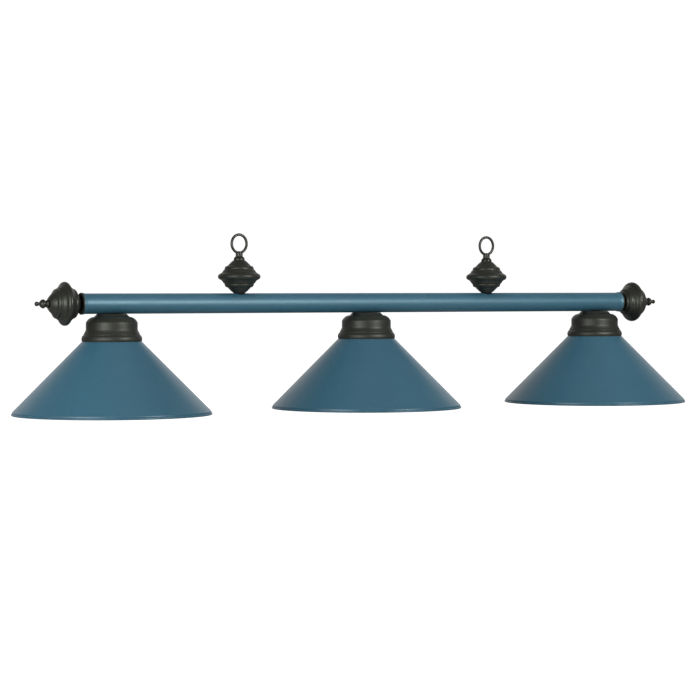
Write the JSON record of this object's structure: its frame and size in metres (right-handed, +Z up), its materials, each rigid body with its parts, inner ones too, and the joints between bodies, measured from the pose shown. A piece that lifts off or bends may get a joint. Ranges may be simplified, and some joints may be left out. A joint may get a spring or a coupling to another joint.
{
  "type": "pool table lamp",
  "caption": "Hanging bar lamp with cone shades under a round tube, ball ornaments with finials at its ends, and two hanging loops on balls.",
  "frame": {"origin": "middle of the lamp, on the plane of the shade rims", "axes": "+X along the bar, +Y across it, +Z up towards the hanging loops"},
  "size_m": [1.3716, 0.3554, 0.3246],
  "materials": {
    "blue_enamel": "satin",
    "dark_bronze": "satin",
    "zinc_steel": "satin",
    "moulded_plastic": "matte",
    "brass": "polished",
    "aluminium": "satin",
    "insulator": "gloss",
    "frosted_glass": "frosted",
    "black_insulation": "matte",
    "white_insulation": "matte"
  },
  "bodies": {
    "bar": {"bar_tube": "blue_enamel", "end_collar_left": "blue_enamel", "end_cup_left": "dark_bronze", "hanger_ball_upper_left": "dark_bronze", "hanger_ball_lower_left": "dark_bronze", "end_collar_right": "blue_enamel", "end_cup_right": "dark_bronze", "hanger_ball_upper_right": "dark_bronze", "hanger_ball_lower_right": "dark_bronze", "end_plugs": "zinc_steel", "finial_studs": "zinc_steel", "hanger_nipples": "zinc_steel", "head_nipples": "zinc_steel", "lock_nuts": "zinc_steel", "wires_black": "black_insulation", "wires_white": "white_insulation", "fitter_cap_left": "dark_bronze", "fitter_cup_left": "dark_bronze", "socket_cap_left": "moulded_plastic", "socket_body_left": "moulded_plastic", "socket_shell_left": "aluminium", "socket_contact_left": "brass", "fitter_cap_center": "dark_bronze", "fitter_cup_center": "dark_bronze", "socket_cap_center": "moulded_plastic", "socket_body_center": "moulded_plastic", "socket_shell_center": "aluminium", "socket_contact_center": "brass", "fitter_cap_right": "dark_bronze", "fitter_cup_right": "dark_bronze", "socket_cap_right": "moulded_plastic", "socket_body_right": "moulded_plastic", "socket_shell_right": "aluminium", "socket_contact_right": "brass"},
    "swivel_loop_left": {"loop_neck_left": "dark_bronze", "hanging_loop_left": "dark_bronze"},
    "end_ball_left": {"end_ball_inner_left": "dark_bronze", "end_ball_outer_left": "dark_bronze"},
    "finial_left": {"finial_knob_left": "dark_bronze"},
    "swivel_loop_right": {"loop_neck_right": "dark_bronze", "hanging_loop_right": "dark_bronze"},
    "end_ball_right": {"end_ball_inner_right": "dark_bronze", "end_ball_outer_right": "dark_bronze"},
    "finial_right": {"finial_knob_right": "dark_bronze"},
    "cone_left": {"shade_left": "blue_enamel"},
    "clamp_ring_left": {"shade_ring_left": "moulded_plastic"},
    "bulb_foot_left": {"bulb_tip_left": "insulator"},
    "bulb_left": {"bulb_base_left": "aluminium", "bulb_glass_left": "frosted_glass"},
    "cone_center": {"shade_center": "blue_enamel"},
    "clamp_ring_center": {"shade_ring_center": "moulded_plastic"},
    "bulb_foot_center": {"bulb_tip_center": "insulator"},
    "bulb_center": {"bulb_base_center": "aluminium", "bulb_glass_center": "frosted_glass"},
    "cone_right": {"shade_right": "blue_enamel"},
    "clamp_ring_right": {"shade_ring_right": "moulded_plastic"},
    "bulb_foot_right": {"bulb_tip_right": "insulator"},
    "bulb_right": {"bulb_base_right": "aluminium", "bulb_glass_right": "frosted_glass"}
  },
  "joints": [
    {"name": "loop_left_swivel", "type": "hinge", "parent": "bar", "child": "swivel_loop_left", "pos_m": [-0.2605, 0, 0.2834], "axis": [0, 0, 1], "range_deg": [-90, 90]},
    {"name": "end_ball_left_slide", "type": "slide", "parent": "bar", "child": "end_ball_left", "axis": [-1, 0, 0], "range_m": [0, 0.0075]},
    {"name": "finial_left_screw", "type": "hinge", "parent": "end_ball_left", "child": "finial_left", "pos_m": [-0.636, 0, 0.1974], "axis": [-1, 0, 0], "range_deg": [0, 2874]},
    {"name": "loop_right_swivel", "type": "hinge", "parent": "bar", "child": "swivel_loop_right", "pos_m": [0.2605, 0, 0.2834], "axis": [0, 0, 1], "range_deg": [-90, 90]},
    {"name": "end_ball_right_slide", "type": "slide", "parent": "bar", "child": "end_ball_right", "axis": [1, 0, 0], "range_m": [0, 0.0075]},
    {"name": "finial_right_screw", "type": "hinge", "parent": "end_ball_right", "child": "finial_right", "pos_m": [0.636, 0, 0.1974], "axis": [1, 0, 0], "range_deg": [0, 2874]},
    {"name": "shade_left_drop", "type": "slide", "parent": "bar", "child": "cone_left", "axis": [0, 0, -1], "range_m": [0, 0.012]},
    {"name": "shade_ring_left_screw", "type": "hinge", "parent": "cone_left", "child": "clamp_ring_left", "pos_m": [-0.508, 0, 0.1254], "axis": [0, 0, -1], "range_deg": [0, 1441]},
    {"name": "bulb_left_drop", "type": "slide", "parent": "bar", "child": "bulb_foot_left", "axis": [0, 0, -1], "range_m": [0, 0.0254]},
    {"name": "bulb_left_screw", "type": "hinge", "parent": "bulb_foot_left", "child": "bulb_left", "pos_m": [-0.508, 0, 0.1114], "axis": [0, 0, -1], "range_deg": [0, 2521]},
    {"name": "shade_center_drop", "type": "slide", "parent": "bar", "child": "cone_center", "axis": [0, 0, -1], "range_m": [0, 0.012]},
    {"name": "shade_ring_center_screw", "type": "hinge", "parent": "cone_center", "child": "clamp_ring_center", "pos_m": [0, 0, 0.1254], "axis": [0, 0, -1], "range_deg": [0, 1441]},
    {"name": "bulb_center_drop", "type": "slide", "parent": "bar", "child": "bulb_foot_center", "axis": [0, 0, -1], "range_m": [0, 0.0254]},
    {"name": "bulb_center_screw", "type": "hinge", "parent": "bulb_foot_center", "child": "bulb_center", "pos_m": [0, 0, 0.1114], "axis": [0, 0, -1], "range_deg": [0, 2521]},
    {"name": "shade_right_drop", "type": "slide", "parent": "bar", "child": "cone_right", "axis": [0, 0, -1], "range_m": [0, 0.012]},
    {"name": "shade_ring_right_screw", "type": "hinge", "parent": "cone_right", "child": "clamp_ring_right", "pos_m": [0.508, 0, 0.1254], "axis": [0, 0, -1], "range_deg": [0, 1441]},
    {"name": "bulb_right_drop", "type": "slide", "parent": "bar", "child": "bulb_foot_right", "axis": [0, 0, -1], "range_m": [0, 0.0254]},
    {"name": "bulb_right_screw", "type": "hinge", "parent": "bulb_foot_right", "child": "bulb_right", "pos_m": [0.508, 0, 0.1114], "axis": [0, 0, -1], "range_deg": [0, 2521]}
  ],
  "couplings": [
    {"joint": "finial_left_screw", "follows": "end_ball_left_slide", "rad_per_m": 6679},
    {"joint": "finial_right_screw", "follows": "end_ball_right_slide", "rad_per_m": 6679},
    {"joint": "shade_ring_left_screw", "follows": "shade_left_drop", "rad_per_m": 2094.4},
    {"joint": "bulb_left_screw", "follows": "bulb_left_drop", "rad_per_m": 1731.6},
    {"joint": "shade_ring_center_screw", "follows": "shade_center_drop", "rad_per_m": 2094.4},
    {"joint": "bulb_center_screw", "follows": "bulb_center_drop", "rad_per_m": 1731.6},
    {"joint": "shade_ring_right_screw", "follows": "shade_right_drop", "rad_per_m": 2094.4},
    {"joint": "bulb_right_screw", "follows": "bulb_right_drop", "rad_per_m": 1731.6}
  ]
}
